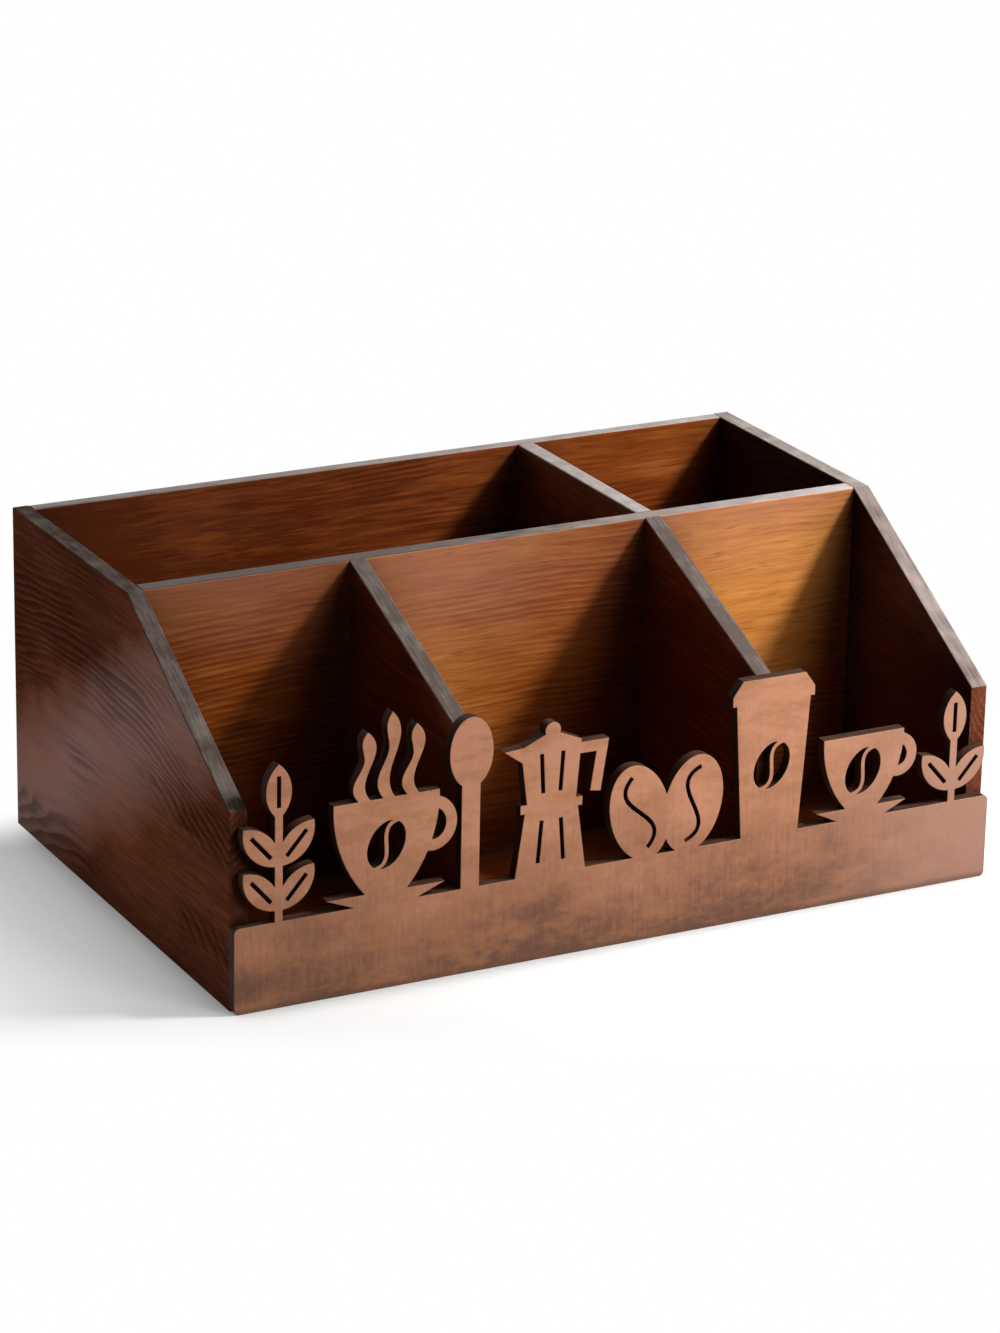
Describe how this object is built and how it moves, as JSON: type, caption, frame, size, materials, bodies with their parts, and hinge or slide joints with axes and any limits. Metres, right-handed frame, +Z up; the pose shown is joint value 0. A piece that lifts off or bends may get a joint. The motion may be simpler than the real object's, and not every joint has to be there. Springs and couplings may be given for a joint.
{
  "type": "coffee station organizer",
  "caption": "Stained wooden desktop organizer with high rear bays, lower front bays, sloping sides and a scroll-sawn front board of coffee silhouettes.",
  "frame": {"origin": "centre of the bounding box at the base, on the surface that it stands on", "axes": "+X to the right seen from the front, +Y to the back panel, +Z up"},
  "size_m": [0.36, 0.234, 0.148],
  "materials": {
    "stained_board": "dark walnut stain under satin lacquer, open straight grain",
    "stained_bottom": "thin plywood, walnut stain under satin lacquer",
    "stained_fretwork": "scroll-sawn plywood, copper-brown stain, smooth satin, darker sawn edges",
    "brad_steel": "bright drawn wire"
  },
  "bodies": {
    "root": {"left_side": "stained_board", "right_side": "stained_board", "back_panel": "stained_board", "bottom_panel": "stained_bottom", "long_divider": "stained_board", "rear_divider": "stained_board", "front_divider_left": "stained_board", "front_divider_right": "stained_board", "front_fretwork": "stained_fretwork", "brads_back_to_bottom": "brad_steel", "brads_back_to_rear_divider": "brad_steel", "brads_bottom_to_front_divider_left": "brad_steel", "brads_bottom_to_front_divider_right": "brad_steel", "brads_bottom_to_long_divider": "brad_steel", "brads_bottom_to_rear_divider": "brad_steel", "brads_fretwork_to_bottom": "brad_steel", "brads_fretwork_to_front_divider_left": "brad_steel", "brads_fretwork_to_front_divider_right": "brad_steel", "brads_fretwork_to_left_side": "brad_steel", "brads_fretwork_to_right_side": "brad_steel", "brads_left_side_to_back": "brad_steel", "brads_left_side_to_bottom": "brad_steel", "brads_left_side_to_long_divider": "brad_steel", "brads_long_divider_to_front_divider_left": "brad_steel", "brads_long_divider_to_rear_divider": "brad_steel", "brads_right_side_to_back": "brad_steel", "brads_right_side_to_bottom": "brad_steel", "brads_right_side_to_long_divider": "brad_steel"}
  },
  "joints": []
}
